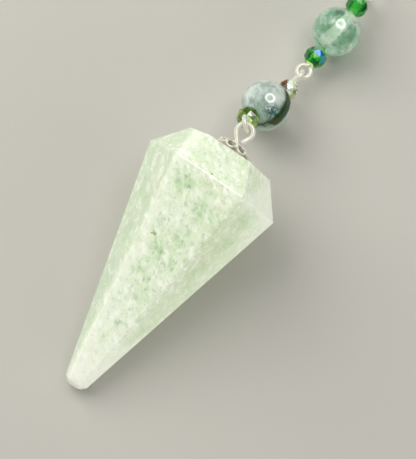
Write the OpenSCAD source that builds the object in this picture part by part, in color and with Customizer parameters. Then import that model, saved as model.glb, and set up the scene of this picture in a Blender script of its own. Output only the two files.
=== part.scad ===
// Pendulum pendant: a six-sided stone point lying on one of its long facets,
// with a filigree cap, a wire eye and two beaded wire links that end in a ring.
// Millimetres. The origin is the middle of the facet the stone lies on,
// +Z is up and +Y runs from the stone's tip towards the chain.

/* [Stone] */
// Length from the tip's bevel to the shoulder
stone_body_len = 35.5; // [28:0.5:42]
// Height of the crown above the shoulder
crown_height = 5; // [3.5:0.1:7]
// Corner radius at the shoulder
shoulder_r = 11; // [9.5:0.1:12.5]
// Corner radius of the flat crown top
crown_top_r = 7.1; // [5:0.1:8.5]
// Corner radius where the tip's bevel starts
tip_r = 1.9; // [1.5:0.1:3]
// Corner radius of the blunt end of the tip
tip_end_r = 1.2; // [0.8:0.1:1.4]
// Length of the tip's bevel
tip_bevel_len = 0.7; // [0.4:0.1:1.2]
// Diameter of the hole drilled for the eye pin
pin_hole_d = 1.1; // [1:0.05:1.5]
// Depth of the hole drilled for the eye pin
pin_hole_depth = 9; // [7:0.5:14]

/* [Cap] */
// Diameter over the petals
cap_d = 5.9; // [5.5:0.1:7]
// Height of the cap
cap_height = 1.7; // [1.4:0.1:2.4]
// Thickness of the cap's metal
cap_wall = 0.4; // [0.3:0.05:0.6]
// Number of petals
petal_count = 8; // [6:1:9]
// Diameter of one petal's round end
petal_d = 1.9; // [1.7:0.1:2.3]
// Diameter of the opening in one petal
petal_hole_d = 1.2; // [0.8:0.1:1.3]
// Diameter of the small balls between the petals
granule_d = 0.6; // [0.5:0.05:0.8]
// Diameter of the cap's middle hole
cap_hole_d = 1.1; // [1:0.05:1.4]

/* [Wire] */
// Diameter of the wire
wire_d = 0.7; // [0.6:0.05:0.8]
// Radius of the eye above the cap, at the wire's middle
eye_r = 1.25; // [1.2:0.05:1.6]
// Distance from the neck of the eye to its middle
eye_reach = 2.1; // [2:0.1:2.6]
// Lean of the eye away from the stone's axis
eye_lean = 2; // [0:1:12]
// Length of the pin inside the stone
pin_depth = 8; // [5:0.5:8.5]
// Radius of the links' loops, at the wire's middle
loop_r = 1.1; // [1.05:0.05:1.3]
// Opening between a loop's cut end and its neck, as an angle
loop_cut = 44; // [42:1:60]
// How much thicker the wire is where it is bent
bend_swell = 0.06; // [0.04:0.01:0.1]
// Radius of the end ring, at the wire's middle
end_ring_r = 2.9; // [2.8:0.05:3.1]

/* [Beads] */
// Diameter of the round beads
round_bead_d = 7.9; // [7:0.1:8.4]
// Diameter of the olive faceted bead
olive_bead_d = 3.6; // [3:0.1:4.2]
// Length of the olive faceted bead
olive_bead_len = 2.9; // [2.5:0.1:3.4]
// Diameter of the clear faceted bead
clear_bead_d = 3.4; // [3:0.1:4.2]
// Length of the clear faceted bead
clear_bead_len = 2.9; // [2.5:0.1:3.4]
// Diameter of the green faceted beads
green_bead_d = 3.8; // [3:0.1:4.2]
// Length of the green faceted beads
green_bead_len = 3; // [2.5:0.1:3.4]
// Diameter of the hole through each bead
bead_hole_d = 1; // [0.95:0.05:1.1]
// Number of facets round a faceted bead
bead_facets = 8; // [6:1:10]

/* [Fits] */
// Small gap between neighbouring pieces
piece_gap = 0.08; // [0.05:0.01:0.15]
// Bare wire between two beads where the first link bends
bend_room = 0.5; // [0.45:0.05:0.7]

/* [Hidden] */
$fn = 64;

// The chain as it lies: one row for each straight run of wire, chosen by eye.
// Columns: heading from +Y towards +X, share of the first link's fall.
RUN_HEADING = 0;
RUN_FALL = 1;
FIRST_LINK_RUNS = [
  [-15, 0.44],
  [19, 0.48],
  [2, 0.08]
];
// Where the first link hangs round the eye, from the eye's far end towards -X
hang_turn = 19;
// How far its loop hangs to the side of the eye's wire
hang_side = 0.06;
// Height of the middle of the first link's lower loop
lower_loop_height = 3;
// Heading of the hook between the links, and of the second link
hook_heading = 12;
second_link_heading = 4.5;
// How much higher the second link's first loop lies than the loop it holds
hook_rise = 0.25;
// Turn of each loop about its link, from upright
upper_loop_turn = 32;
lower_loop_turn = 14;
second_loops_turn = 80;
// Heading of the upright end ring
end_ring_heading = -8;

// Profile of a faceted bead, from end to end.
// Columns: place along the bead, radius, both as shares of the bead's sizes,
// and the turn of the row of corners, as a share of one facet.
BEAD_PROFILE = [
  [-0.5, 0.5, 0.5],
  [-0.27, 0.88, 0],
  [0, 1, 0.5],
  [0.27, 0.88, 0],
  [0.5, 0.5, 0.5]
];

// Where the cap's section turns down: shares of its radius and of its height
CAP_SHOULDER = [0.6, 0.8];
// Middles of the small balls: shares of the cap's radius and of its height
BALL_PLACE = [0.78, 0.62];
// Turn of the cap on the stone, from a ball that stands at the very top
cap_turn = 8;
// How far a cut runs past the surface that it opens
past = 1;

SIDES = 6;
hex_flat = cos(180 / SIDES);
taper = atan2((shoulder_r - tip_r) * hex_flat, stone_body_len);
rest_height = tip_r * hex_flat * cos(taper);
rest_middle = tip_r * hex_flat * sin(taper) + stone_body_len / cos(taper) / 2;
crown_top = stone_body_len + crown_height;
stone_colour = "#cfe0cb";
silver = "#d8d4c8";

// Directions and places along the chain
function along(heading, rise) =
  [sin(heading) * cos(rise), cos(heading) * cos(rise), sin(rise)];
function on_stone(p) = [
  p[0],
  p[1] * sin(taper) + p[2] * cos(taper) - rest_middle,
  p[2] * sin(taper) - p[1] * cos(taper) + rest_height
];

cap_seat = crown_top + piece_gap;
neck = cap_seat + cap_height;
eye_middle = neck + eye_reach * cos(eye_lean);
eye_side = -eye_reach * sin(eye_lean);
eye_hold = on_stone([
  eye_side - eye_r * sin(eye_lean + hang_turn),
  0,
  eye_middle + eye_r * cos(eye_lean + hang_turn)
]);
hook_gap = wire_d + 2 * piece_gap;

loop_to_bead = loop_r + wire_d / 2 + piece_gap;
run_1_len = loop_to_bead + olive_bead_len + bend_room / 2;
run_2_len = round_bead_d + bend_room;
run_3_len = bend_room / 2 + clear_bead_len + loop_to_bead;

link_1_start = eye_hold - [hang_side, 0, loop_r - hook_gap];
link_1_fall = link_1_start[2] - lower_loop_height;
function run_rise(i, len) = -asin(FIRST_LINK_RUNS[i][RUN_FALL] * link_1_fall / len);
function run_heading(i) = FIRST_LINK_RUNS[i][RUN_HEADING];
run_1_rise = run_rise(0, run_1_len);
run_2_rise = run_rise(1, run_2_len);
run_3_rise = run_rise(2, run_3_len);
run_1 = along(run_heading(0), run_1_rise);
run_2 = along(run_heading(1), run_2_rise);
run_3 = along(run_heading(2), run_3_rise);
bend_1 = link_1_start + run_1_len * run_1;
bend_2 = bend_1 + run_2_len * run_2;
link_1_end = bend_2 + run_3_len * run_3;
olive_middle = link_1_start + (loop_to_bead + olive_bead_len / 2) * run_1;
moss_middle = bend_1 + run_2_len / 2 * run_2;
clear_middle = bend_2 + (bend_room + clear_bead_len) / 2 * run_3;

hook_reach = 2 * loop_r - hook_gap;
link_2_start = link_1_end + hook_reach * along(hook_heading, asin(hook_rise / hook_reach));
link_2_half = loop_to_bead + green_bead_len + piece_gap + round_bead_d / 2;
link_2_rise = asin((round_bead_d / 2 - link_2_start[2]) / link_2_half);
link_2 = along(second_link_heading, link_2_rise);
green_reach = loop_to_bead + green_bead_len / 2;
green_a_middle = link_2_start + green_reach * link_2;
pale_middle = link_2_start + link_2_half * link_2;
green_b_middle = link_2_start + (2 * link_2_half - green_reach) * link_2;
link_2_end = link_2_start + 2 * link_2_half * link_2;

// The end ring stands on the table and passes through the middle of the last loop
end_ring_height = end_ring_r + wire_d / 2;
end_ring_drop = link_2_end[2] - end_ring_height;
end_ring_side = sqrt(end_ring_r * end_ring_r - end_ring_drop * end_ring_drop);
end_ring_middle = link_2_end
  + end_ring_side * along(end_ring_heading, 0)
  - [0, 0, end_ring_drop];

// Puts a thing drawn along +Z at a point, heading along the chain
module lay(at, heading, rise) {
  translate(at)
    rotate([rise - 90, 0, -heading])
      children();
}

// Puts a thing drawn along the stone's axis, tip down, on the lying stone
module stone_frame() {
  lay(on_stone([0, 0, 0]), 0, taper)
    children();
}

// Cuts six flat faces through two rows of flats, given by their corner radii
module facet_ring(r_low, z_low, r_high, z_high) {
  block = 4 * shoulder_r + crown_top;
  slope = atan2((r_low - r_high) * hex_flat, z_high - z_low);
  for (k = [0 : SIDES - 1])
    rotate([0, 0, k * 360 / SIDES])
      translate([0, r_low * hex_flat, z_low])
        rotate([slope, 0, 0])
          translate([-block / 2, 0, -block / 2])
            cube(block);
}

module stone_point() {
  color(stone_colour)
    stone_frame()
      difference() {
        translate([0, 0, -tip_bevel_len])
          cylinder(h = crown_top + tip_bevel_len, r = shoulder_r, $fn = SIDES);
        facet_ring(tip_r, 0, shoulder_r, stone_body_len);
        facet_ring(shoulder_r, stone_body_len, crown_top_r, crown_top);
        facet_ring(tip_end_r, -tip_bevel_len, tip_r, 0);
        translate([0, 0, crown_top - pin_hole_depth])
          cylinder(h = pin_hole_depth + past, d = pin_hole_d);
      }
}

// Outlines of the petals, seen along the stone's axis
module petal_outlines(d) {
  for (k = [0 : petal_count - 1])
    rotate([0, 0, (k + 0.5) * 360 / petal_count])
      translate([0, (cap_d - petal_d) / 2, 0])
        circle(d = d);
}

// Half of the cap's section: a low cup, upside down, with its rim on the stone
module cap_section() {
  hole = cap_hole_d / 2;
  rim = cap_d / 2 + cap_wall;
  inner_rim = rim - cap_wall;
  shoulder = cap_height * CAP_SHOULDER[1];
  polygon([
    [hole, cap_height],
    [rim * CAP_SHOULDER[0], shoulder],
    [rim, 0],
    [inner_rim, 0],
    [inner_rim * CAP_SHOULDER[0], shoulder - cap_wall],
    [hole, cap_height - cap_wall]
  ]);
}

module bead_cap() {
  color(silver)
    stone_frame()
      translate([0, 0, cap_seat])
        rotate([0, 0, cap_turn]) {
          intersection() {
            rotate_extrude()
              cap_section();
            translate([0, 0, -past])
              linear_extrude(height = cap_height + 2 * past)
                difference() {
                  union() {
                    petal_outlines(petal_d);
                    circle(d = cap_d - petal_d);
                  }
                  petal_outlines(petal_hole_d);
                }
          }
          for (k = [0 : petal_count - 1])
            rotate([0, 0, k * 360 / petal_count])
              translate([0, BALL_PLACE[0] * cap_d / 2, BALL_PLACE[1] * cap_height])
                sphere(d = granule_d);
        }
}

// A straight wire between two points
module wire(from, to) {
  run = to - from;
  flat = norm([run[0], run[1]]);
  translate(from)
    rotate([0, atan2(flat, run[2]), atan2(run[1], run[0])])
      cylinder(h = norm(run), d = wire_d);
}

// A ball where a wire is bent
module bend(at) {
  translate(at)
    sphere(d = wire_d + bend_swell);
}

// A round loop standing on the end of a wire that comes up along +Z.
// Its neck is at the bottom and its cut end stops short of the neck.
module loop(turn) {
  rotate([0, 90, turn])
    rotate_extrude(angle = 360 - loop_cut)
      translate([loop_r, 0])
        circle(d = wire_d);
}

module eye_pin() {
  spread = asin(eye_r / eye_reach);
  leg = eye_reach * cos(spread);
  cut = wire_d / sin(2 * spread);
  shank = cap_height + pin_depth;
  color(silver)
    stone_frame()
      translate([0, 0, neck]) {
        translate([0, 0, -shank])
          cylinder(h = shank, d = wire_d);
        bend([0, 0, 0]);
        rotate([0, -eye_lean, 0]) {
          rotate([0, -spread, 0]) {
            cylinder(h = leg, d = wire_d);
            bend([0, 0, leg]);
          }
          rotate([0, spread, 0]) {
            translate([0, 0, cut])
              cylinder(h = leg - cut, d = wire_d);
            bend([0, 0, leg]);
          }
          translate([0, 0, eye_reach])
            rotate([90, spread, 0])
              rotate_extrude(angle = 180 + 2 * spread)
                translate([eye_r, 0])
                  circle(d = wire_d);
        }
      }
}

module link_1_wire() {
  color(silver) {
    lay(link_1_start, run_heading(0) + 180, -run_1_rise)
      loop(upper_loop_turn);
    wire(link_1_start + loop_r * run_1, bend_1);
    bend(link_1_start + loop_r * run_1);
    bend(bend_1);
    wire(bend_1, bend_2);
    bend(bend_2);
    wire(bend_2, link_1_end - loop_r * run_3);
    bend(link_1_end - loop_r * run_3);
    lay(link_1_end, run_heading(2), run_3_rise)
      loop(lower_loop_turn);
  }
}

module link_2_wire() {
  first_neck = link_2_start + loop_r * link_2;
  last_neck = link_2_end - loop_r * link_2;
  color(silver) {
    lay(link_2_start, second_link_heading + 180, -link_2_rise)
      loop(-second_loops_turn);
    bend(first_neck);
    wire(first_neck, last_neck);
    bend(last_neck);
    lay(link_2_end, second_link_heading, link_2_rise)
      loop(second_loops_turn);
  }
}

module round_bead() {
  difference() {
    sphere(d = round_bead_d);
    cylinder(h = round_bead_d + past, d = bead_hole_d, center = true);
  }
}

// A cut glass bead: rows of corners joined by triangles, with two flat ends
module faceted_bead(d, len) {
  n = bead_facets;
  rows = len(BEAD_PROFILE);
  corners = [
    for (row = BEAD_PROFILE)
      for (k = [0 : n - 1])
        let (a = (k + row[2]) * 360 / n)
          [row[1] * d / 2 * cos(a), row[1] * d / 2 * sin(a), row[0] * len]
  ];
  function corner(i, k) = i * n + k % n;
  // A row turned by half a facet has its corner k after the corner k below it
  function late(i) = BEAD_PROFILE[i][2] > BEAD_PROFILE[i + 1][2] ? 1 : 0;
  bands = [
    for (i = [0 : rows - 2])
      for (k = [0 : n - 1])
        for (face = [
          [corner(i, k), corner(i + 1, k + late(i)), corner(i, k + 1)],
          [corner(i + 1, k), corner(i + 1, k + 1), corner(i, k + 1 - late(i))]
        ])
          face
  ];
  first_end = [for (k = [0 : n - 1]) corner(0, k)];
  last_end = [for (k = [0 : n - 1]) corner(rows - 1, n - 1 - k)];
  difference() {
    polyhedron(points = corners, faces = concat([first_end], bands, [last_end]));
    cylinder(h = len + past, d = bead_hole_d, center = true);
  }
}

module olive_bead() {
  color("#7d8a3c")
    lay(olive_middle, run_heading(0), run_1_rise)
      faceted_bead(olive_bead_d, olive_bead_len);
}

module moss_bead() {
  color("#a9c4bb")
    lay(moss_middle, run_heading(1), run_2_rise)
      round_bead();
}

module clear_bead() {
  color("#dcd9c0")
    lay(clear_middle, run_heading(2), run_3_rise)
      faceted_bead(clear_bead_d, clear_bead_len);
}

module green_bead_a() {
  color("#1f8a3c")
    lay(green_a_middle, second_link_heading, link_2_rise)
      faceted_bead(green_bead_d, green_bead_len);
}

module pale_bead() {
  color("#9fcfb4")
    lay(pale_middle, second_link_heading, link_2_rise)
      round_bead();
}

module green_bead_b() {
  color("#1f8a3c")
    lay(green_b_middle, second_link_heading, link_2_rise)
      faceted_bead(green_bead_d, green_bead_len);
}

module end_ring() {
  color(silver)
    translate(end_ring_middle)
      rotate([0, 90, -end_ring_heading])
        rotate_extrude()
          translate([end_ring_r, 0])
            circle(d = wire_d);
}

stone_point();
bead_cap();
eye_pin();
link_1_wire();
olive_bead();
moss_bead();
clear_bead();
link_2_wire();
green_bead_a();
pale_bead();
green_bead_b();
end_ring();
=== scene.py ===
from functools import reduce
from math import asin, atan2, cos, degrees, hypot, pi, radians, sin, sqrt

import bpy
from mathutils import Euler, Matrix, Vector


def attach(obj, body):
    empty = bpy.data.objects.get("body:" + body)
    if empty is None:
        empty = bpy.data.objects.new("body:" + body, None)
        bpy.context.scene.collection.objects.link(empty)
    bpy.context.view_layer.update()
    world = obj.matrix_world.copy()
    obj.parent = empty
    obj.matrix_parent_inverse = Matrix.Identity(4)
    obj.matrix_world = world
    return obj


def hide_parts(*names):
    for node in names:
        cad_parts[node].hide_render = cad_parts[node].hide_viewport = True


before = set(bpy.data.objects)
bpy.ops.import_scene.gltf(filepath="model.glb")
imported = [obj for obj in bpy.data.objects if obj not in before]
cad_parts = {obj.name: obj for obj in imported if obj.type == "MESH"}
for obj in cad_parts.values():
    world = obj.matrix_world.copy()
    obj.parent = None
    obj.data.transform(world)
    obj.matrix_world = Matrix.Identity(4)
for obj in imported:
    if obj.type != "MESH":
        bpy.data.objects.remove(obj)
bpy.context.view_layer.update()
bpy.ops.object.select_all(action="DESELECT")

# Pieces are modelled in millimetres and brought to metres when they are finished.
MM = 0.001

# Sizes of the real pieces, in millimetres and degrees. They are the solids' own,
# but the cut ends of the loops come closer to their necks here.

# The stone: lengths of body, crown and tip bevel, and radii at its corners
STONE_SIDES = 6
STONE_LEN, CROWN_LEN, BEVEL_LEN = 35.5, 5.0, 0.7
SHOULDER_R, CROWN_TOP_R, TIP_R, TIP_END_R = 11.0, 7.1, 1.9, 1.2
PIN_HOLE_D, PIN_HOLE_DEPTH = 1.1, 9.0

# The cap: its shoulder and its balls stand at shares of its radius and height
CAP_D, CAP_LEN, CAP_WALL, CAP_HOLE_D = 5.9, 1.7, 0.4, 1.1
CAP_TURN, CAP_SHOULDER = 8.0, (0.6, 0.8)
PETALS, PETAL_D, PETAL_HOLE_D = 8, 1.9, 1.2
GRANULE_D, BALL_PLACE = 0.6, (0.78, 0.62)

# The wires: radii of loops, eye and ring are measured to the wire's middle
WIRE_D, LOOP_R, LOOP_CUT = 0.7, 1.1, 25.0
EYE_R, EYE_REACH, EYE_LEAN, PIN_DEPTH = 1.25, 2.1, 2.0, 8.0
END_RING_R = 2.9

# The beads: a cut one has a diameter and a length
ROUND_D, HOLE_D = 7.9, 1.0
OLIVE, CLEAR, GREEN = (3.6, 2.9), (3.4, 2.9), (3.8, 3.0)

# Space between neighbours, and bare wire where the first link bends
GAP, BEND_ROOM = 0.08, 0.5

# How the chain lies. Each run of the first link has a heading and a share of its fall.
FIRST_LINK_RUNS = ((-15, 0.44), (19, 0.48), (2, 0.08))
HANG_TURN, HANG_SIDE = 19.0, 0.06
LOWER_LOOP_HEIGHT, HOOK_HEADING, HOOK_RISE = 3.0, 12.0, 0.25
UPPER_TURN, LOWER_TURN, SECOND_TURN = 32.0, 14.0, 80.0
SECOND_HEADING, RING_HEADING = 4.5, -8.0


def along(heading, rise=0.0):
    """Direction of a run of wire, from its heading and its rise."""
    h, r = radians(heading), radians(rise)
    return Vector((sin(h) * cos(r), cos(h) * cos(r), sin(r)))


def lay(at, heading, rise):
    """Place of a thing that is drawn along +Z and lies on the chain."""
    return (
        Matrix.Translation(at)
        @ Matrix.Rotation(radians(-heading), 4, "Z")
        @ Matrix.Rotation(radians(rise - 90), 4, "X")
    )


# The stone lies on a facet. A facet's distance from the axis is a share of its corners'.
FLAT_SHARE = cos(pi / STONE_SIDES)
TAPER = degrees(atan2((SHOULDER_R - TIP_R) * FLAT_SHARE, STONE_LEN))
TIP_FLAT = TIP_R * FLAT_SHARE
STONE_PLACE = lay(
    (
        0,
        -TIP_FLAT * sin(radians(TAPER)) - STONE_LEN / cos(radians(TAPER)) / 2,
        TIP_FLAT * cos(radians(TAPER)),
    ),
    0,
    TAPER,
)
CROWN_TOP = STONE_LEN + CROWN_LEN
CAP_SEAT = CROWN_TOP + GAP
NECK = CAP_SEAT + CAP_LEN

# The first link hangs in the eye and falls in three straight runs, with a bead on each.
lean, hang = radians(EYE_LEAN), radians(EYE_LEAN + HANG_TURN)
eye_hold = STONE_PLACE @ Vector((
    -EYE_REACH * sin(lean) - EYE_R * sin(hang), 0,
    NECK + EYE_REACH * cos(lean) + EYE_R * cos(hang)))
hook_gap = WIRE_D + 2 * GAP
to_bead = LOOP_R + WIRE_D / 2 + GAP
run_lens = (to_bead + OLIVE[1] + BEND_ROOM / 2, ROUND_D + BEND_ROOM,
            BEND_ROOM / 2 + CLEAR[1] + to_bead)
start_1 = eye_hold - Vector((HANG_SIDE, 0, LOOP_R - hook_gap))
fall = start_1.z - LOWER_LOOP_HEIGHT
headings = [run[0] for run in FIRST_LINK_RUNS]
rises = [-degrees(asin(run[1] * fall / length))
         for run, length in zip(FIRST_LINK_RUNS, run_lens)]
runs = [along(h, r) for h, r in zip(headings, rises)]
bend_1 = start_1 + run_lens[0] * runs[0]
bend_2 = bend_1 + run_lens[1] * runs[1]
end_1 = bend_2 + run_lens[2] * runs[2]
olive_at = start_1 + (to_bead + OLIVE[1] / 2) * runs[0]
moss_at = bend_1 + run_lens[1] / 2 * runs[1]
clear_at = bend_2 + (BEND_ROOM + CLEAR[1]) / 2 * runs[2]

# The second link is straight and rests on its round bead. The end ring stands in its last loop.
hook_reach = 2 * LOOP_R - hook_gap
start_2 = end_1 + hook_reach * along(HOOK_HEADING, degrees(asin(HOOK_RISE / hook_reach)))
half_2 = to_bead + GREEN[1] + GAP + ROUND_D / 2
rise_2 = degrees(asin((ROUND_D / 2 - start_2.z) / half_2))
run_2 = along(SECOND_HEADING, rise_2)
to_green = to_bead + GREEN[1] / 2
green_a_at = start_2 + to_green * run_2
pale_at = start_2 + half_2 * run_2
green_b_at = start_2 + (2 * half_2 - to_green) * run_2
end_2 = start_2 + 2 * half_2 * run_2
ring_drop = end_2.z - END_RING_R - WIRE_D / 2
ring_at = (end_2 + sqrt(END_RING_R ** 2 - ring_drop ** 2) * along(RING_HEADING)
           - Vector((0, 0, ring_drop)))


# Making and finishing pieces

def pick(piece, mode="OBJECT"):
    """Selects one piece alone, in the given mode."""
    if bpy.context.object and bpy.context.object.mode != "OBJECT":
        bpy.ops.object.mode_set(mode="OBJECT")
    bpy.ops.object.select_all(action="DESELECT")
    piece.select_set(True)
    bpy.context.view_layer.objects.active = piece
    bpy.ops.object.mode_set(mode=mode)


def select_parts(piece, kind, parts, wanted):
    """In edit mode, selects the faces or corners that pass a test."""
    pick(piece, "EDIT")
    bpy.ops.mesh.select_mode(type=kind)
    bpy.ops.mesh.select_all(action="DESELECT")
    bpy.ops.object.mode_set(mode="OBJECT")
    for part in getattr(piece.data, parts):
        part.select = bool(wanted(part))
    bpy.ops.object.mode_set(mode="EDIT")


def select_faces(piece, wanted):
    select_parts(piece, "FACE", "polygons", wanted)


def select_points(piece, wanted):
    select_parts(piece, "VERT", "vertices", wanted)


def select_open_edges():
    """In edit mode, selects the rims of the holes in a mesh."""
    bpy.ops.mesh.select_mode(type="EDGE")
    bpy.ops.mesh.select_all(action="DESELECT")
    bpy.ops.mesh.select_non_manifold()


def face_outwards():
    """In edit mode, turns all faces outwards."""
    bpy.ops.mesh.select_all(action="SELECT")
    bpy.ops.mesh.normals_make_consistent(inside=False)


def shape(piece, kind, **settings):
    """Adds a modifier to a piece and applies it."""
    pick(piece)
    modifier = piece.modifiers.new(kind.title(), kind)
    for name, value in settings.items():
        setattr(modifier, name, value)
    bpy.ops.object.modifier_apply(modifier=modifier.name)


def ease_edges(piece, width, segments, angle, **settings):
    """Bevels the edges that are sharper than the angle."""
    shape(piece, "BEVEL", width=width, segments=segments, limit_method="ANGLE",
          angle_limit=radians(angle), **settings)


def soften(piece, angle):
    """Smooth shading, but crisp where two faces meet at more than the angle."""
    pick(piece)
    bpy.ops.object.shade_smooth_by_angle(angle=radians(angle))


def drill(piece, diameter, depth, top, sides=48):
    """Drills a round hole down from a height on the piece's own axis."""
    bpy.ops.object.select_all(action="DESELECT")
    bpy.ops.mesh.primitive_cylinder_add(
        vertices=sides, radius=diameter / 2, depth=depth, location=(0, 0, top - depth / 2))
    bit = bpy.context.object
    shape(piece, "BOOLEAN", operation="DIFFERENCE", object=bit, solver="EXACT")
    bpy.data.objects.remove(bit)


def mark_bore(bead, slack=0.005):
    """Gives the wall of a bead's hole its second finish."""
    for face in bead.data.polygons:
        if hypot(face.center.x, face.center.y) < HOLE_D / 2 + slack:
            face.material_index = 1


def hand_in(piece, name, finishes, place, node=None):
    """Puts a finished piece in its place, in metres, with its material."""
    piece.name = piece.data.name = name
    piece.matrix_world = Matrix.Scale(MM, 4) @ place @ piece.matrix_world
    pick(piece)
    bpy.ops.object.transform_apply(location=True, rotation=True, scale=True)
    kept = [face.material_index for face in piece.data.polygons]
    piece.data.materials.clear()
    for finish in finishes:
        piece.data.materials.append(finish)
    piece.data.polygons.foreach_set("material_index", kept)
    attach(piece, "root")
    if node:
        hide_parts(node)


# Shader values

class Value:
    """A number or a colour on its way through the nodes of a finish."""

    def __init__(self, finish, socket):
        self.finish, self.socket = finish, socket

    def maths(self, operation, first, second):
        return self.finish.node("Math", {"operation": operation}, {0: first, 1: second})

    def __add__(self, other):
        return self.maths("ADD", self, other)

    def __mul__(self, other):
        return self.maths("MULTIPLY", self, other)

    def __sub__(self, other):
        return self.maths("SUBTRACT", self, other)

    def __rsub__(self, other):
        return self.maths("SUBTRACT", other, self)

    __radd__ = __add__
    __rmul__ = __mul__


class Finish:
    """A material under way. Patterns are measured in millimetres."""

    def __init__(self, name, **constants):
        self.material = bpy.data.materials.new(name)
        self.material.use_nodes = True
        self.nodes = self.material.node_tree.nodes
        self.links = self.material.node_tree.links
        self.shader = next(n for n in self.nodes if n.type == "BSDF_PRINCIPLED")
        self.fill(self.shader, constants)
        place = self.node("TexCoord", output="Object")
        self.point = self.vector("SCALE", {"Vector": place, "Scale": 1 / MM})

    def put(self, value, socket):
        """Links a value to a socket, or writes a plain number or colour on it."""
        if isinstance(value, Value):
            self.links.new(value.socket, socket)
        elif socket.type == "RGBA" and len(value) == 3:
            socket.default_value = (*value, 1)
        else:
            socket.default_value = value

    def fill(self, shader, values):
        """Puts values in a shader's sockets, whose names have _ for each space."""
        for key, value in values.items():
            self.put(value, shader.inputs[key.replace("_", " ")])

    def node(self, kind, settings=None, sockets=None, output=0):
        """Adds a node: its type, its settings, then its sockets."""
        node = self.nodes.new("ShaderNode" + kind)
        for key, value in (settings or {}).items():
            if key == "stops":
                while len(node.color_ramp.elements) < len(value):
                    node.color_ramp.elements.new(0.5)
                for element, (place, colour) in zip(node.color_ramp.elements, value):
                    element.position, element.color = place, (*colour, 1)
            else:
                setattr(node, key, value)
        for key, value in (sockets or {}).items():
            self.put(value, node.inputs[key])
        return Value(self, node.outputs[output])

    def vector(self, operation, sockets, output=0):
        """Vector maths."""
        return self.node("VectorMath", {"operation": operation}, sockets, output)

    def reach(self, axis, point=None):
        """How far the point lies along an axis: 0 across, 1 along, 2 up."""
        return self.node("SeparateXYZ", {}, {0: point or self.point}, output=axis)

    def turned(self, at=(0, 0, 0), turn=0, size=(1, 1, 1), point=None):
        """The point as seen from a place, turned about +Z and measured in its own sizes."""
        return self.node("Mapping", {"vector_type": "TEXTURE"}, {
            "Vector": point or self.point, "Location": at,
            "Rotation": (0.0, 0.0, radians(turn)), "Scale": size})

    def noise(self, size, detail=3.0, rough=0.55, point=None):
        """Cloudy noise whose clouds are about size across."""
        return self.node("TexNoise", {"noise_dimensions": "3D"}, {
            "Vector": point or self.point, "Scale": 1 / size, "Detail": detail,
            "Roughness": rough})

    def grain(self, size, turn, stretch, detail=3.0, rough=0.6, point=None):
        """Noise whose clouds are turned and drawn out."""
        return self.noise(size, detail, rough, self.turned(turn=turn, size=stretch, point=point))

    def ramp(self, value, *stops):
        """Runs a value through colours at given places."""
        return self.node("ValToRGB", {"stops": stops}, {"Fac": value})

    def between(self, value, low, high):
        """0 under low, 1 over high, and smooth between them."""
        return self.node("MapRange", {"interpolation_type": "SMOOTHSTEP"}, {
            "Value": value, "From Min": low, "From Max": high})

    def mix(self, mask, first, second):
        """One colour where the mask is 0, the other where it is 1."""
        return self.node("Mix", {"data_type": "RGBA"},
                         {0: mask, 6: first, 7: second}, output=2)

    def spot(self, at, size, turn=0, point=None, soft=0.7):
        """1 within a soft lens-shaped spot, 0 outside."""
        away = self.vector("LENGTH", {0: self.turned(at, turn, size, point)}, "Value")
        return 1 - self.between(away, 1 - soft, 1.0)

    def any_of(self, masks):
        """The strongest of several masks."""
        return reduce(lambda most, mask: most.maths("MAXIMUM", most, mask), masks)

    def shifted(self, amount, size):
        """The point moved about by noise, which frays what is drawn there."""
        cloud = self.node("TexNoise", {}, {
            "Vector": self.point, "Scale": 1 / size, "Detail": 2.0}, output="Color")
        off = self.vector("SUBTRACT", {0: cloud, 1: (0.5, 0.5, 0.5)})
        far = self.vector("SCALE", {0: off, "Scale": amount})
        return self.vector("ADD", {0: self.point, 1: far})

    def toward(self, place, direction):
        """How far the point is from a place in a direction, in millimetres."""
        off = self.vector("SUBTRACT", {0: self.point, 1: tuple(place)})
        way = tuple(Vector(direction).normalized())
        return self.vector("DOT_PRODUCT", {0: off, 1: way}, "Value")

    def bump(self, height, depth):
        """Raises the surface by a height pattern, depth in millimetres."""
        self.put(self.node("Bump", {}, {
            "Height": height, "Distance": depth * MM, "Strength": 1.0}),
            self.shader.inputs["Normal"])

    def veil(self, mask, **constants):
        """Mixes a second, cloudier shader of the same colour in where the mask is 1."""
        cloudy = self.nodes.new("ShaderNodeBsdfPrincipled")
        self.fill(cloudy, constants)
        for name in ("Base Color", "Roughness", "Normal"):
            for link in self.shader.inputs[name].links:
                self.links.new(link.from_socket, cloudy.inputs[name])
        both = self.nodes.new("ShaderNodeMixShader")
        self.put(mask, both.inputs[0])
        self.links.new(self.shader.outputs[0], both.inputs[1])
        self.links.new(cloudy.outputs[0], both.inputs[2])
        end = next(n for n in self.nodes if n.type == "OUTPUT_MATERIAL")
        self.links.new(both.outputs[0], end.inputs["Surface"])

    def set(self, **values):
        self.fill(self.shader, values)
        return self


# The stone's finish

# Colours of the ground and of what lies on it
GROUND_DEEP, GROUND_PALE = (0.73, 0.84, 0.62), (0.82, 0.91, 0.73)
PATCH_GREEN, BAND_OLIVE = (0.54, 0.73, 0.44), (0.58, 0.66, 0.44)
LEFT_PAINTED_SHADE, STREAK_GREY = (0.52, 0.62, 0.46), (0.50, 0.62, 0.46)
BLOT_GREEN, SPECK_GREEN, PIT_SHADE = (0.40, 0.53, 0.37), (0.32, 0.42, 0.28), (0.20, 0.24, 0.20)
CLOUD_WHITE, RIGHT_PAINTED_LIGHT = (0.94, 1.0, 0.87), (0.96, 0.98, 0.90)
RIDGE_PAINTED_HIGHLIGHT, TIP_WHITE, EDGE_PAINTED_HIGHLIGHT = (0.95, 0.97, 0.88), (0.98, 1.0, 0.89), (1.0, 0.985, 0.92)
BLUSH_TAN = (0.86, 0.80, 0.66)

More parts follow.
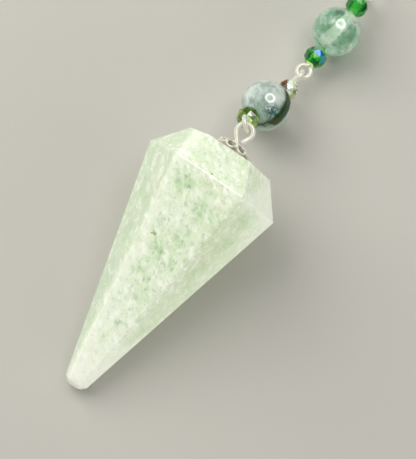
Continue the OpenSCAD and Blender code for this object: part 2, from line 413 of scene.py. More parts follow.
# Greener patches: middle, half sizes, turn from the stone's length, strength
STONE_PATCHES = (
    ((-0.4, 1.8, 12.9), (1.9, 2.8, 2.5), 20, 1.0),
    ((-0.9, -1.1, 11.5), (1.2, 1.5, 2.0), 0, 1.0),
    ((0.9, -2.2, 11.0), (1.2, 2.1, 2.0), 30, 0.9),
    ((1.3, 5.0, 14.3), (1.2, 2.4, 2.0), 30, 0.9),
    ((1.5, 9.6, 16.5), (1.3, 2.8, 2.0), 20, 0.8),
    ((4.0, 9.9, 16.7), (1.3, 2.6, 2.0), 10, 0.9),
    ((2.3, 1.9, 12.9), (1.0, 1.8, 2.0), 10, 0.8),
    ((0.5, -8.7, 8.0), (1.1, 1.6, 2.0), 30, 0.8),
    ((0.2, -16.5, 4.3), (0.5, 1.5, 1.5), 5, 0.7),
    ((-0.1, -11.8, 6.5), (0.6, 1.3, 1.5), 20, 0.7),
    ((-2.6, 11.4, 17.3), (2.4, 2.6, 1.6), 0, 0.9),
    ((-6.0, 8.0, 13.2), (1.4, 2.8, 2.2), 10, 0.8),
    ((-7.6, 9.6, 10.9), (1.0, 4.0, 2.4), 12, 0.7),
    ((-5.9, 2.6, 10.0), (1.0, 4.6, 2.4), 12, 0.7),
    ((7.4, 12.6, 14.0), (2.4, 3.4, 3.4), -20, 0.9),
    ((6.9, 8.6, 11.9), (1.9, 3.6, 2.6), -16, 0.8),
    ((5.4, 3.0, 10.0), (1.5, 3.8, 2.2), -16, 0.7),
    ((3.9, -8.0, 5.4), (1.3, 4.8, 2.0), -14, 0.7),
)

# Warm blushes: middle, half sizes, turn
STONE_BLUSHES = (
    ((-6.6, 11.0, 15.0), (1.3, 6.0, 3.0), 14),
    ((0.6, 13.6, 18.3), (4.5, 1.0, 2.0), -8),
    ((3.6, 12.0, 17.6), (1.6, 2.6, 2.0), -20),
)

# Small stains: middle, half sizes, strength, colour
STAIN_TURN = 24
STONE_STAINS = (
    ((-2.3, 3.75, 13.8), (0.9, 0.3, 0.8), 0.65, (0.26, 0.26, 0.04)),
    ((-1.7, 11.4, 17.3), (0.7, 0.3, 0.8), 0.6, (0.26, 0.32, 0.18)),
)
# Painted shade in a small pit: its middle and half sizes
PIT_AT, PIT_SIZE = (0.1, 14.4, 18.5), (0.26, 0.17, 0.4)

# The upper facet's two ridges: how far out they are half way along the stone,
# and how much further for each millimetre towards the shoulder
RIDGE_OUT, RIDGE_SLOPE = 3.1, 0.13


def stone_finish(name, edge=False):
    """Polished pale green quartz: a mossy ground, soft white clouds, grey-green specks."""
    stone = Finish(name, IOR=1.54, Subsurface_Weight=0.0 if edge else 0.4,
                   Subsurface_Scale=0.003, Subsurface_Radius=(1.0, 1.0, 0.9),
                   Coat_Weight=0.1, Coat_Roughness=0.08)
    loose, frayed = stone.shifted(1.0, 2.0), stone.shifted(1.4, 1.3)
    net = stone.grain(1.0, -48, (1.5, 0.9, 1.1), 4.0, point=loose)
    blot = stone.grain(0.8, -60, (1.3, 0.9, 1.0))
    speck = stone.grain(0.38, -55, (1.3, 0.9, 1.0))
    streaks = stone.grain(1.3, 13, (1.0, 6.0, 1.4), rough=0.55)

    # Parts of the stone: the facets left and right of the upper one, the body and the tip
    across, along_stone = stone.reach(0), stone.reach(1)
    spread = RIDGE_SLOPE * along_stone
    left = stone.between(across + spread, -3.3, -4.5)
    right = stone.between(across - spread, 3.6, 4.6)
    smooth = left + right
    body = stone.between(along_stone, 15.5, 12.5)
    tip = stone.between(along_stone, -5.0, -17.0)

    # The ground, its green patches, the left facet greyed with painted shade, the olive band by
    # the right ridge, and painted light on the right facets near the crown
    cloud = stone.noise(5.0, 3.0, 0.5, loose)
    colour = stone.ramp(stone.between(cloud, 0.35, 0.65), (0.0, GROUND_DEEP), (1.0, GROUND_PALE))
    patches = stone.any_of(stone.spot(at, size, turn, frayed, soft=0.9) * strength
                           for at, size, turn, strength in STONE_PATCHES)
    mossy = patches * (0.55 + 0.45 * stone.between(net, 0.62, 0.4))
    colour = stone.mix(mossy * 0.9, colour, PATCH_GREEN)
    # Painted shade: the left facet is greyed and darkened
    colour = stone.mix(left * 0.66, colour, LEFT_PAINTED_SHADE)
    colour = stone.mix(stone.between(streaks, 0.45, 0.65) * left * 0.5, colour, STREAK_GREY)
    beside = stone.reach(0, loose) - spread
    band = stone.between(beside, 2.6, 3.8) * stone.between(beside, 7.2, 5.0)
    strength = body * (0.12 + 0.33 * stone.between(along_stone, -8.0, 6.0))
    colour = stone.mix(band * strength, colour, BAND_OLIVE)
    # Painted light: the right facets near the crown are whitened, standing in for light that
    # passes through the stone
    colour = stone.mix(right * (1 - body) * 0.5, colour, RIGHT_PAINTED_LIGHT)
    blush = stone.any_of(stone.spot(at, size, turn, loose, soft=0.9)
                         for at, size, turn in STONE_BLUSHES)
    colour = stone.mix(blush * 0.35, colour, BLUSH_TAN)

    # White clouds, and the dark specks between them
    white = stone.between(net, 0.46, 0.68) * (1 - 0.6 * patches) * (1 - 0.5 * smooth)
    colour = stone.mix(white, colour, CLOUD_WHITE)
    open_ground = (0.5 + 0.5 * patches) * (1 - 0.55 * smooth)
    dark = stone.between(blot, 0.52, 0.70) * open_ground
    colour = stone.mix(dark * 0.9, colour, BLOT_GREEN)
    beside_net = 0.45 + 0.55 * stone.between(net, 0.6, 0.42)
    fine = stone.between(speck, 0.54, 0.68) * beside_net * open_ground
    colour = stone.mix(fine * 0.6, colour, SPECK_GREEN)

    # A painted highlight along the left ridge, the pale tip, two stains, and painted shade in a
    # small pit
    # Painted highlight along the left ridge
    ridge = across + spread + RIDGE_OUT
    glow = stone.between(ridge, -1.0, -0.2) * stone.between(ridge, 1.6, 0.2)
    colour = stone.mix(glow * 0.25, colour, RIDGE_PAINTED_HIGHLIGHT)
    colour = stone.mix(tip * (1 - 0.7 * left) * 0.55, colour, TIP_WHITE)
    speckled = stone.between(speck, 0.46, 0.56)
    ragged = stone.shifted(0.5, 0.4)
    for at, size, strength, stain in STONE_STAINS:
        spot = stone.spot(at, size, STAIN_TURN, ragged)
        colour = stone.mix(spot * speckled * strength, colour, stain)
    # Painted shade in the pit
    colour = stone.mix(stone.spot(PIT_AT, PIT_SIZE, soft=0.4) * 0.75, colour, PIT_SHADE)
    # The edge finish is whitened: a painted highlight
    if edge:
        colour = stone.mix(0.8, colour, EDGE_PAINTED_HIGHLIGHT)
    haze = stone.noise(2.5)
    stone.bump(haze, 0.03)
    return stone.set(Base_Color=colour, Roughness=0.26 + 0.12 * haze).material


# The finishes of the metal, the glass and the round beads

def silver_finish(name, dark=0.0):
    """Bright silver plate, a little warm, with fine drawing marks."""
    silver = Finish(name, Metallic=0.5, IOR=1.6)
    cloud = silver.noise(1.3)
    colour = silver.mix(silver.between(cloud, 0.35, 0.7), (0.96, 0.95, 0.83), (1.0, 0.99, 0.90))
    # Darkening for the cap's cup: painted shade and dark reflections in its openings
    if dark:
        colour = silver.mix(dark, colour, (0.22, 0.18, 0.08))
    silver.bump(silver.noise(0.12, rough=0.6), 0.01)
    return silver.set(Base_Color=colour, Roughness=0.26 + 0.12 * cloud).material


def glass_finish(name, body, dark, bright, glint_colours):
    """Cut glass with reflections painted on its facets: those marked -1 get a painted dark
    reflection, 1 a painted white highlight, and 2 or 3 a painted coloured glint.
    """
    glass = Finish(name, IOR=1.55, Transmission_Weight=0.9, Coat_Weight=0.3)
    mark = glass.node("Attribute", {"attribute_name": "tone"}, output="Fac")
    cloud = glass.noise(1.2, 2.0)
    colour = glass.mix(glass.between(cloud, 0.35, 0.65), *body)
    for low, high, look in ((0.0, -1.0, dark), (0.0, 1.0, bright),
                            (1.0, 2.0, glint_colours[0]), (2.0, 3.0, glint_colours[1])):
        colour = glass.mix(glass.between(mark, low, high), colour, look)
    glinting = glass.between(mark, 0.5, 1.0)
    return glass.set(Base_Color=colour, Metallic=glinting,
                     Roughness=0.02 + 0.05 * cloud + 0.3 * glinting).material


# Directions on the moss bead: to its clear side, and across its dark band
MOSS_CLEAR_SIDE, MOSS_ACROSS_BAND = (-0.56, 0.80, 0.22), (-0.63, -0.10, 0.77)


def moss_finish():
    """Milky blue-grey agate, speckled on top, with green and brown moss round one side."""
    moss = Finish("moss_agate", IOR=1.4, Subsurface_Weight=0.1, Subsurface_Scale=0.0005,
                  Coat_IOR=2.0, Coat_Roughness=0.02)
    loose = moss.shifted(1.3, 1.3)
    cloud = moss.grain(1.5, -60, (1.7, 1, 1), 4.0, point=loose)
    fine = moss.noise(0.5, 4.0, 0.65)
    fray = (moss.noise(0.9, 4.0, 0.6) - 0.5) * 0.35
    colour = moss.ramp(moss.between(cloud, 0.33, 0.67), (0.0, (0.26, 0.37, 0.32)),
                       (0.45, (0.40, 0.50, 0.45)), (1.0, (0.62, 0.70, 0.65)))

    # Both are shares of the bead's radius, from -1 to 1.
    share = 2 / ROUND_D
    clear_side = moss.toward(moss_at, MOSS_CLEAR_SIDE) * share + fray
    across_band = moss.toward(moss_at, MOSS_ACROSS_BAND) * share + fray * 0.5
    colour = moss.mix(moss.between(clear_side, -0.2, -0.7) * 0.8, colour, (0.18, 0.36, 0.27))
    pearly = moss.spot(moss_at + Vector((0.9, 0.6, 3.8)), (1.9, 1.6, 1.4),
                       point=loose, soft=0.9)
    colour = moss.mix(pearly * 0.6, colour, (0.84, 0.90, 0.85))
    speckled = moss.spot(moss_at + Vector((1.7, -1.55, 3.2)), (2.2, 1.7, 1.7),
                         point=loose, soft=0.8) * moss.between(fine, 0.41, 0.52)
    colour = moss.mix(speckled * 0.95, colour, (0.02, 0.09, 0.08))
    dark = (moss.between(across_band, 0.34, 0.16) * moss.between(across_band, -0.32, -0.14)
            * moss.between(clear_side, -0.95, -0.75))
    green = moss.mix(moss.between(clear_side, -0.50, -0.75), (0.004, 0.035, 0.002),
                     (0.045, 0.03, 0.003))
    colour = moss.mix(dark * 0.97, colour, green)
    rim = moss.between(across_band, -0.20, -0.42)
    colour = moss.mix(rim * 0.7, colour, (0.34, 0.40, 0.30))
    return moss.set(Base_Color=colour, Roughness=0.12 + 0.06 * cloud,
                    Coat_Weight=1 - 0.9 * dark).material


# Dark wisps, and white clouds that are partly painted soft highlights, in the pale bead: place
# from its middle, and radius
PALE_WISPS = (
    ((-1.2, 1.2, 3.55), 1.25),
    ((-1.0, -1.7, 3.45), 0.85),
    ((2.8, -0.9, 2.65), 1.0),
    ((1.65, 1.5, 3.25), 0.7),
    ((-1.0, 2.3, 3.0), 0.7),
    ((0.9, -3.2, 2.1), 0.7),
    ((0.0, 2.2, -3.2), 1.2),
    ((-2.8, -1.0, -2.4), 1.2),
)
PALE_CLOUDS_AND_HIGHLIGHTS = (
    ((-1.2, -0.7, 3.7), 0.7),
    ((1.9, 0.9, 3.35), 0.85),
)


def pale_finish():
    """Clear sea-green stone with white veils and darker wisps."""
    gloss = {"Coat_Weight": 1.0, "Coat_IOR": 2.0, "Coat_Roughness": 0.02,
             "Sheen_Weight": 0.25, "Sheen_Roughness": 0.3, "Sheen_Tint": (0.75, 1.0, 0.80)}
    pale = Finish("pale_aventurine", IOR=1.45, Transmission_Weight=0.95, **gloss)
    loose = pale.shifted(1.0, 1.1)
    cloud = pale.grain(1.3, 40, (1, 1.6, 1), 4.0, point=loose)
    fine = pale.noise(0.45, 4.0, 0.65)

    def spots(places):
        return pale.any_of(
            pale.spot(pale_at + Vector(at), (radius,) * 3, point=loose, soft=0.9)
            for at, radius in places)

    colour = pale.ramp(pale.between(cloud, 0.34, 0.66), (0.0, (0.44, 0.88, 0.58)),
                       (0.5, (0.60, 0.96, 0.72)), (1.0, (0.80, 1.0, 0.85)))
    wisps = spots(PALE_WISPS) * (0.4 + 0.6 * pale.between(fine, 0.4, 0.58))
    colour = pale.mix(wisps * 0.85, colour, (0.06, 0.26, 0.15))

    # Painted light: a pale band over the drilled hole, on the bead's upper half, standing in for
    # the lit bore seen through the glass
    across_hole = pale.toward(pale_at, (0.972, -0.2145, -0.1)) + 0.8 * (fine - 0.5)
    above = pale.between(pale.toward(pale_at, (0, 0, 1)), 0.5, 2.0)
    veil = (pale.between(across_hole, -1.15, -0.7) * pale.between(across_hole, 1.15, 0.7)
            * above)
    colour = pale.mix(veil * 0.6, colour, (0.82, 0.95, 0.78))
    # White clouds on the bead's top, partly painted soft highlights
    white = spots(PALE_CLOUDS_AND_HIGHLIGHTS)
    colour = pale.mix(white * 0.6, colour, (0.93, 0.97, 0.93))
    pale.set(Base_Color=colour, Roughness=0.06 + 0.08 * cloud)
    milky = 0.18 + 0.22 * pale.between(cloud, 0.42, 0.68) + 0.3 * white + 0.3 * veil
    pale.veil(milky, Subsurface_Weight=0.3, Subsurface_Scale=0.001, **gloss)
    return pale.material


def glowing_bore_finish(name, colour, glow):
    """The ground, unpolished wall of a drilled hole. It glows though it is no lamp: painted
    light for the light that reaches it through its bead.
    """
    bore = Finish(name, IOR=1.5, Emission_Color=colour, Emission_Strength=glow)
    grit = bore.noise(0.25)
    wall = bore.mix(grit * 0.4, colour, tuple(0.6 * c for c in colour))
    return bore.set(Base_Color=wall, Roughness=0.55 + 0.2 * grit).material


STONE = stone_finish("celadon_stone")
STONE_EDGE_HIGHLIGHT = stone_finish("celadon_edge_highlight", edge=True)
SILVER = silver_finish("silver_wire")
SHADED_SILVER = silver_finish("cap_silver_painted_shade", dark=0.6)
# The dark, bright and glint colours of the cut beads are painted reflections, highlights and
# glints
OLIVE_GLASS = glass_finish(
    "olive_glass", body=((0.20, 0.30, 0.08), (0.36, 0.48, 0.16)), dark=(0.03, 0.06, 0.01),
    bright=(0.80, 0.88, 0.76), glint_colours=((0.55, 0.75, 0.25), (0.30, 0.24, 0.12)))
CLEAR_GLASS = glass_finish(
    "clear_glass", body=((0.84, 0.90, 0.80), (0.94, 0.97, 0.90)), dark=(0.40, 0.46, 0.36),
    bright=(0.95, 0.95, 0.93), glint_colours=((0.75, 0.85, 0.45), (0.38, 0.15, 0.03)))
GREEN_GLASS = glass_finish(
    "green_glass", body=((0.01, 0.30, 0.04), (0.06, 0.55, 0.10)), dark=(0.0, 0.06, 0.005),
    bright=(0.88, 0.95, 0.86), glint_colours=((0.16, 0.38, 1.0), (0.15, 1.0, 1.0)))
# Both bores glow, though they are no lamps: painted light
PALE_GLOWING_BORE = glowing_bore_finish("pale_bore_painted_glow", (0.86, 0.96, 0.80), glow=0.45)
LIME_GLOWING_BORE = glowing_bore_finish("lime_bore_painted_glow", (0.62, 0.92, 0.30), glow=0.3)
MOSS = moss_finish()
PALE = pale_finish()


# The stone

# Width of its softened edges, and half the height of the painted highlight line on the
# shoulder's top edge
EDGE_WIDTH, HIGHLIGHT_LINE = 0.13, 0.12
# How far above the crown the drill starts
DRILL_START = 1


def narrow(new_radius, old_radius):
    """In edit mode, draws the selected end in or out to a new radius."""
    share = new_radius / old_radius
    bpy.ops.transform.resize(value=(share, share, 1))


def lengthen(rise):
    """In edit mode, draws the selected end out along the axis."""
    bpy.ops.mesh.extrude_region_move(TRANSFORM_OT_translate={"value": (0, 0, rise)})


def make_stone():
    """A six-sided rod, drawn in at the tip, with a cut crown and a drilled hole."""
    bpy.ops.mesh.primitive_cylinder_add(
        vertices=STONE_SIDES, radius=SHOULDER_R, depth=STONE_LEN,
        location=(0, 0, STONE_LEN / 2), rotation=(0, 0, pi / STONE_SIDES))
    stone = bpy.context.object
    bpy.ops.object.transform_apply(location=True, rotation=True, scale=True)
    select_faces(stone, lambda face: face.normal.z < -0.9)
    narrow(TIP_R, SHOULDER_R)
    lengthen(-BEVEL_LEN)
    narrow(TIP_END_R, TIP_R)
    select_faces(stone, lambda face: face.normal.z > 0.9)
    lengthen(CROWN_LEN)
    narrow(CROWN_TOP_R, SHOULDER_R)
    pick(stone)
    stone.data.materials.append(STONE)
    stone.data.materials.append(STONE_EDGE_HIGHLIGHT)
    ease_edges(stone, width=EDGE_WIDTH, segments=3, angle=20, material=1)
    # Only the shoulder's top edge keeps the whitened finish: a painted highlight line
    for face in stone.data.polygons:
        aside, below, height = face.center
        on_line = abs(height - STONE_LEN) <= HIGHLIGHT_LINE
        if not on_line or abs(aside) > SHOULDER_R / 4 or below > 0:
            face.material_index = 0
    drill(stone, PIN_HOLE_D, PIN_HOLE_DEPTH + DRILL_START, CROWN_TOP + DRILL_START)
    soften(stone, 40)
    shape(stone, "WEIGHTED_NORMAL", keep_sharp=True)
    hand_in(stone, "stone_point_cut", (STONE, STONE_EDGE_HIGHLIGHT), STONE_PLACE, "stone_point")


# The wires

# Reach of a bend at a link's corners, and where a loop leaves its neck, in degrees
LINK_BEND, LOOP_LEAVE = 0.35, 22.0
# Reach of the bend under the eye, and where its cut end stops beside the neck
EYE_BEND, EYE_END = 0.45, Vector((0.68 * WIRE_D, -0.2, 0.54 * WIRE_D))
# A point on the straight pin, this far under its neck
PIN_POINT = 3.0
# Width of the eased edges of a cut end
CUT_EDGE = 0.07
# The end ring's hairline cut: where its wire begins, and the cut's width, in degrees
RING_CUT_AT, RING_CUT = 92.0, 3.4


def bent_wire(points, thickness, closed=False):
    """A round wire through close points, with flat cut ends a little eased."""
    curve = bpy.data.curves.new("wire", "CURVE")
    curve.dimensions = "3D"
    curve.bevel_depth = thickness / 2
    curve.bevel_resolution = 5
    curve.use_fill_caps = not closed
    spline = curve.splines.new("POLY")
    spline.points.add(len(points) - 1)
    for knot, point in zip(spline.points, points):
        knot.co = (*point, 1)
    spline.use_cyclic_u = closed
    wire = bpy.data.objects.new("wire", curve)
    bpy.context.scene.collection.objects.link(wire)
    pick(wire)
    bpy.ops.object.convert(target="MESH")
    wire = bpy.context.object
    pick(wire, "EDIT")
    bpy.ops.mesh.select_all(action="SELECT")
    bpy.ops.mesh.remove_doubles(threshold=0.001)
    face_outwards()
    pick(wire)
    if not closed:
        ease_edges(wire, width=CUT_EDGE, segments=2, angle=60)
    soften(wire, 50)
    return wire


def hand_in_wire(line, name, node, place=Matrix.Identity(4)):
    """Bends a wire of the chain along its line and hands it in."""
    hand_in(bent_wire(line, WIRE_D), name, (SILVER,), place, node)


def arc(place, turn, first, last=360.0 - LOOP_CUT, step=7.5):
    """Points round a loop, from its neck at the bottom, in a laid frame."""
    count = round((last - first) / step)
    t = radians(turn)
    points = []
    for k in range(count + 1):
        a = radians(first + (last - first) * k / count)
        points.append(place @ Vector((
            -LOOP_R * sin(a) * sin(t), LOOP_R * sin(a) * cos(t), -LOOP_R * cos(a))))
    return points


def eased(before, corner, after, steps=6):
    """Points of a soft bend from one point to another round a corner."""
    return [(1 - t) ** 2 * before + 2 * t * (1 - t) * corner + t * t * after
            for t in (k / steps for k in range(steps + 1))]


def beside(corner, other):
    """Where a bend at a corner begins, on the way to another point."""
    return corner + LINK_BEND * (other - corner).normalized()


def looped_link(loops, corners):
    """The centre line of a link: loop, bends between its beads, loop."""
    first_neck, last_neck = [place @ Vector((0, 0, -LOOP_R)) for place, turn in loops]
    opening, ending = [arc(place, turn, LOOP_LEAVE) for place, turn in loops]
    knots = [first_neck, *corners, last_neck]
    line = opening[:0:-1] + eased(opening[0], knots[0], beside(knots[0], knots[1]))
    for before, corner, after in zip(knots, knots[1:], knots[2:]):
        line += eased(beside(corner, before), corner, beside(corner, after))
    line += eased(beside(knots[-1], knots[-2]), knots[-1], ending[0])
    return line + ending[1:]


def make_links():
    """The two links' wires: one bent twice, one straight."""
    first = looped_link(
        ((lay(start_1, headings[0] + 180, -rises[0]), UPPER_TURN),
         (lay(end_1, headings[2], rises[2]), LOWER_TURN)), (bend_1, bend_2))
    hand_in_wire(first, "link_1_bent_wire", "link_1_wire")
    second = looped_link(
        ((lay(start_2, SECOND_HEADING + 180, -rise_2), -SECOND_TURN),
         (lay(end_2, SECOND_HEADING, rise_2), SECOND_TURN)), ())
    hand_in_wire(second, "link_2_bent_wire", "link_2_wire")


def make_eye(steps=36):
    """The pin up through stone and cap, round its teardrop eye and back to its neck."""
    spread = asin(EYE_R / EYE_REACH)
    tilt = Matrix.Translation((0, 0, NECK)) @ Matrix.Rotation(-lean, 4, "Y")
    joint = Vector((0, 0, NECK))
    left = tilt @ Vector((-sin(spread), 0, cos(spread)))
    line = [Vector((0, 0, NECK - CAP_LEN - PIN_DEPTH)), Vector((0, 0, NECK - PIN_POINT))]
    line += eased(joint - Vector((0, 0, EYE_BEND)), joint, joint + EYE_BEND * (left - joint))
    for k in range(steps + 1):
        a = pi + spread - (pi + 2 * spread) * k / steps
        line.append(tilt @ Vector((EYE_R * cos(a), 0, EYE_REACH + EYE_R * sin(a))))
    line.append(joint + EYE_END)
    hand_in_wire(line, "eye_bent_wire", "eye_pin", STONE_PLACE)


def make_end_ring(steps=96):
    """A plain ring that stands on edge in the last loop."""
    place = Matrix.Translation(ring_at) @ Matrix.Rotation(radians(-RING_HEADING), 4, "Z")
    line = []
    for k in range(steps + 1):
        a = radians(RING_CUT_AT + (360 - RING_CUT) * k / steps)
        line.append(Vector((0, END_RING_R * cos(a), END_RING_R * sin(a))))
    hand_in_wire(line, "end_bent_ring", "end_ring", place)


# The cap

# Wire round each petal, and the two collars: radius and thickness
PETAL_WIRE_D, COLLARS = 0.3, ((0.72, 0.3), (1.2, 0.2))
# How far petal wires sink into the cup, and collars and balls stand out of it
NUDGE = 0.02
# How much the balls are flattened
BALL_SQUASH = 0.92


def circle(count):
    """Angles evenly round a full turn."""
    return [2 * pi * k / count for k in range(count)]


def cup_height(radius):
    """Height of the cap's outer face at a distance from its middle."""
    rim = CAP_D / 2 + CAP_WALL
    fold_r, fold_z = rim * CAP_SHOULDER[0], CAP_LEN * CAP_SHOULDER[1]
    if radius < fold_r:
        share = (radius - CAP_HOLE_D / 2) / (fold_r - CAP_HOLE_D / 2)
        return CAP_LEN + (fold_z - CAP_LEN) * share
    return fold_z * (rim - radius) / (rim - fold_r)


def petal_wire(side):
    """A closed wire round one petal, laid on the cup."""
    middle = (CAP_D - PETAL_D) / 2
    strand_r = (PETAL_D + PETAL_HOLE_D) / 4
    points = []
    for a in circle(32):
        aside, out = strand_r * cos(a), middle + strand_r * sin(a)
        x = aside * cos(side) - out * sin(side)
        y = aside * sin(side) + out * cos(side)
        points.append(Vector((x, y, CAP_SEAT + cup_height(hypot(x, y)) - NUDGE)))
    return bent_wire(points, PETAL_WIRE_D, closed=True)


def collar(radius, thickness):
    """A closed wire round the cap's middle."""
    height = CAP_SEAT + cup_height(radius) + NUDGE
    points = [Vector((radius * cos(a), radius * sin(a), height)) for a in circle(36)]
    return bent_wire(points, thickness, closed=True)


def granule(side):
    """A small ball between two petals."""
    far = BALL_PLACE[0] * CAP_D / 2
    bpy.ops.object.select_all(action="DESELECT")
    bpy.ops.mesh.primitive_uv_sphere_add(
        segments=24, ring_count=16, radius=GRANULE_D / 2 + NUDGE,
        location=(-far * sin(side), far * cos(side), CAP_SEAT + BALL_PLACE[1] * CAP_LEN))
    ball = bpy.context.object
    ball.scale = (1, 1, BALL_SQUASH)
    bpy.ops.object.transform_apply(location=True, rotation=True, scale=True)
    soften(ball, 60)
    return ball


def make_cap():
    """Bright work on the pierced cup: a wire round each petal, two collars and the balls."""
    step = 360 / PETALS
    parts = [petal_wire(radians((petal + 0.5) * step + CAP_TURN)) for petal in range(PETALS)]
    parts += [collar(radius, thickness) for radius, thickness in COLLARS]
    parts += [granule(radians(ball * step + CAP_TURN)) for ball in range(PETALS)]
    pick(parts[0])
    for part in parts:
        part.select_set(True)
    bpy.ops.object.join()
    hand_in(bpy.context.object, "cap_filigree", (SILVER,), STONE_PLACE)


# The beads

# Facets round a cut bead, and the rows of faces that its ball starts with
BEAD_FACETS, BEAD_ROWS = 8, 6
# Widths of the eased edges of a round bead's rim and a cut bead's facets
RIM_EDGE, FACET_EDGE = 0.08, 0.035

# Reflections painted on facets: which way a facet faces, how near to that, and its mark: -1 a
# painted dark reflection, 1 a painted white highlight, 2 and 3 painted coloured glints
OLIVE_REFLECTIONS = (
    ((-0.3, 0.6, 0.7), 0.8, -1),
    ((0.4, 0.6, 0.7), 0.86, -1),
    ((0.35, -0.15, 0.92), 0.92, 1),
    ((-0.75, -0.2, 0.6), 0.92, 2),
    ((0.6, -0.5, 0.6), 0.9, 2),
)
CLEAR_REFLECTIONS = (
    ((-0.18, -0.26, 0.94), 0.9, 1),
    ((-0.75, 0.15, 0.62), 0.88, 3),
    ((0.5, 0.1, 0.85), 0.9, -1),
    ((0.78, -0.35, 0.5), 0.9, 2),
)
GREEN_A_REFLECTIONS = (
    ((0.35, 0.0, 0.93), 0.93, 2),
    ((0.75, -0.1, 0.62), 0.93, 3),
    ((0.2, -0.8, 0.5), 0.9, -1),
    ((-0.1, 0.5, 0.85), 0.93, 1),
)
GREEN_B_REFLECTIONS = (
    ((-0.45, 0.1, 0.88), 0.93, 1),
    ((0.8, 0.2, 0.5), 0.85, -1),
)


def make_round(name, node, finish, place):
    """A ball with a drilled hole, its rim a little rounded."""
    bpy.ops.object.select_all(action="DESELECT")
    bpy.ops.mesh.primitive_uv_sphere_add(segments=64, ring_count=48, radius=ROUND_D / 2)
    bead = bpy.context.object
    rim_height = ROUND_D / 2 * cos(asin(HOLE_D / ROUND_D))
    select_faces(bead, lambda face: abs(face.center.z) > rim_height - 0.01)
    bpy.ops.mesh.delete(type="FACE")
    select_open_edges()
    bpy.ops.mesh.bridge_edge_loops()
    face_outwards()
    ease_edges(bead, width=RIM_EDGE, segments=3, angle=50)
    soften(bead, 60)
    mark_bore(bead)
    hand_in(bead, name, (finish, PALE_GLOWING_BORE), place, node)


def make_faceted(name, node, finish, bore, size, place, reflections):
    """A ball of eight sides, flattened, with every other row turned by half a side.
    Each reflection is a direction, how near to it a facet faces, and the mark of the reflection
    painted on that facet."""
    diameter, length = size
    bpy.ops.object.select_all(action="DESELECT")
    bpy.ops.mesh.primitive_uv_sphere_add(
        segments=BEAD_FACETS, ring_count=BEAD_ROWS, radius=diameter / 2)
    bead = bpy.context.object
    select_points(bead, lambda point: abs(point.co.z) > diameter / 2 * 0.99)
    bpy.ops.mesh.delete(type="VERT")
    bpy.ops.mesh.select_all(action="SELECT")
    bpy.ops.transform.resize(value=(1, 1, length / (diameter * cos(pi / BEAD_ROWS))))
    for in_row in (lambda point: point.co.z < -0.45 * length,
                   lambda point: abs(point.co.z) < 0.1 * length,
                   lambda point: point.co.z > 0.45 * length):
        select_points(bead, in_row)
        bpy.ops.transform.rotate(value=pi / BEAD_FACETS, orient_axis="Z",
                                 center_override=(0, 0, 0))
    select_open_edges()
    bpy.ops.mesh.edge_face_add()
    face_outwards()
    shape(bead, "TRIANGULATE", quad_method="SHORTEST_DIAGONAL", min_vertices=4)
    drill(bead, HOLE_D, 2 * length, length)
    ease_edges(bead, width=FACET_EDGE, segments=1, angle=12)
    mark_bore(bead)
    hand_in(bead, name, (finish, bore), place, node)
    mark = bead.data.attributes.new("tone", "FLOAT", "FACE")
    for face, item in zip(bead.data.polygons, mark.data):
        for look, nearness, tone in reflections:
            if face.normal.dot(Vector(look).normalized()) > nearness:
                item.value = tone


make_stone()
make_links()
make_eye()
make_end_ring()
make_cap()
make_round("moss_drilled_bead", "moss_bead", MOSS,
           lay(moss_at, headings[1], rises[1]))
make_round("pale_drilled_bead", "pale_bead", PALE,
           lay(pale_at, SECOND_HEADING, rise_2))
make_faceted("olive_cut_bead", "olive_bead", OLIVE_GLASS, LIME_GLOWING_BORE, OLIVE,
             lay(olive_at, headings[0], rises[0]), OLIVE_REFLECTIONS)
make_faceted("clear_cut_bead", "clear_bead", CLEAR_GLASS, PALE_GLOWING_BORE, CLEAR,
             lay(clear_at, headings[2], rises[2]), CLEAR_REFLECTIONS)
make_faceted("green_cut_bead_a", "green_bead_a", GREEN_GLASS, LIME_GLOWING_BORE, GREEN,
             lay(green_a_at, SECOND_HEADING, rise_2), GREEN_A_REFLECTIONS)
make_faceted("green_cut_bead_b", "green_bead_b", GREEN_GLASS, LIME_GLOWING_BORE, GREEN,
             lay(green_b_at, SECOND_HEADING, rise_2), GREEN_B_REFLECTIONS)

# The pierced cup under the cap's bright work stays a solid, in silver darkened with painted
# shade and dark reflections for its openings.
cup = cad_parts["bead_cap"]
cup.data.materials.clear()
cup.data.materials.append(SHADED_SILVER)


# Table, light and camera, in metres

TABLE_SIZE, TABLE_DROP = 3.0, 0.0001
LAMP_DIRECTION, LAMP_DISTANCE = Vector((0.0, 0.37, 0.929)), 0.42
LAMP_OUTER, LAMP_INNER, LAMP_STRENGTH = 0.168, 0.088, 3.4
WORLD_COLOUR, WORLD_STRENGTH = (1, 0.99, 0.96, 1), 0.12
# Soft side lights: name, place, width, height, power, colour
SIDE_LIGHTS = (
    ("window", (-0.32, 0.05, 0.28), 0.36, 0.36, 2.0, (1.0, 0.985, 0.95)),
    ("fill", (0.42, -0.08, 0.08), 0.60, 0.13, 1.5, (1.0, 0.99, 0.97)),
)
LIGHTS_AIM = Vector((0, 0.02, 0))
# Fitted to the stone's corners in the photo, with lens lengths in millimetres
CAMERA_PLACE, CAMERA_TURN = (0.01041, -0.02525, 0.15108), (13.0106, -5.5549, 33.7430)
SENSOR, LENS = 36.0, 78.43


def aimed(direction):
    """The turn of a lamp that shines in a direction."""
    return direction.to_track_quat("-Z", "Y").to_euler()


def make_floor():
    """A wide pale table top."""
    bpy.ops.object.select_all(action="DESELECT")
    bpy.ops.mesh.primitive_plane_add(size=TABLE_SIZE, location=(0, 0, -TABLE_DROP))
    floor = bpy.context.object
    floor.name = "floor"
    table = Finish("pale_table", Base_Color=(0.51, 0.50, 0.46))
    table.set(Roughness=0.55 + 0.1 * table.noise(9.0))
    floor.data.materials.append(table.material)


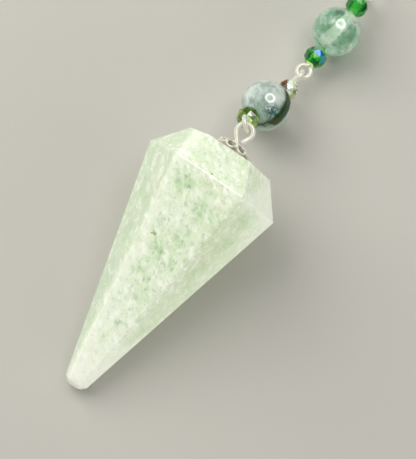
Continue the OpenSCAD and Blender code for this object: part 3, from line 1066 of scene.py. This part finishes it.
def make_ring_lamp():
    """A round lamp with an open middle, over the far side of the pendant."""
    bpy.ops.object.select_all(action="DESELECT")
    bpy.ops.mesh.primitive_circle_add(vertices=64, radius=LAMP_OUTER, fill_type="NGON")
    lamp = bpy.context.object
    lamp.name = "ring_lamp"
    pick(lamp, "EDIT")
    bpy.ops.mesh.select_mode(type="FACE")
    bpy.ops.mesh.select_all(action="SELECT")
    bpy.ops.mesh.inset(thickness=LAMP_OUTER - LAMP_INNER)
    bpy.ops.mesh.delete(type="FACE")
    pick(lamp)
    lamp.location = LAMP_DISTANCE * LAMP_DIRECTION
    lamp.rotation_euler = aimed(-LAMP_DIRECTION)
    glow = Finish("lamp_glow", Base_Color=(0, 0, 0), Emission_Color=(1.0, 0.985, 0.95),
                  Emission_Strength=LAMP_STRENGTH)
    lamp.data.materials.append(glow.material)
    lamp.visible_camera = False


def make_side_lights():
    """A pale world and two soft lights that leave no mirror image on gloss."""
    world = bpy.data.worlds.new("studio")
    bpy.context.scene.world = world
    world.use_nodes = True
    background = world.node_tree.nodes["Background"].inputs
    background["Color"].default_value = WORLD_COLOUR
    background["Strength"].default_value = WORLD_STRENGTH
    for name, at, width, height, power, colour in SIDE_LIGHTS:
        lamp = bpy.data.lights.new(name, "AREA")
        lamp.shape, lamp.size, lamp.size_y = "RECTANGLE", width, height
        lamp.energy, lamp.color = power, colour
        light = bpy.data.objects.new(name, lamp)
        light.location = at
        light.visible_glossy = False
        light.rotation_euler = aimed(LIGHTS_AIM - light.location)
        bpy.context.scene.collection.objects.link(light)


def make_camera():
    """The photo's own angle and framing."""
    lens = bpy.data.cameras.new("view")
    lens.sensor_width, lens.lens = SENSOR, LENS
    lens.clip_start, lens.clip_end = 0.005, 10.0
    camera = bpy.data.objects.new("view", lens)
    camera.location = CAMERA_PLACE
    camera.rotation_euler = Euler([radians(angle) for angle in CAMERA_TURN], "XYZ")
    bpy.context.scene.collection.objects.link(camera)
    bpy.context.scene.camera = camera
    bpy.context.scene.view_settings.view_transform = "Standard"


make_floor()
make_ring_lamp()
make_side_lights()
make_camera()
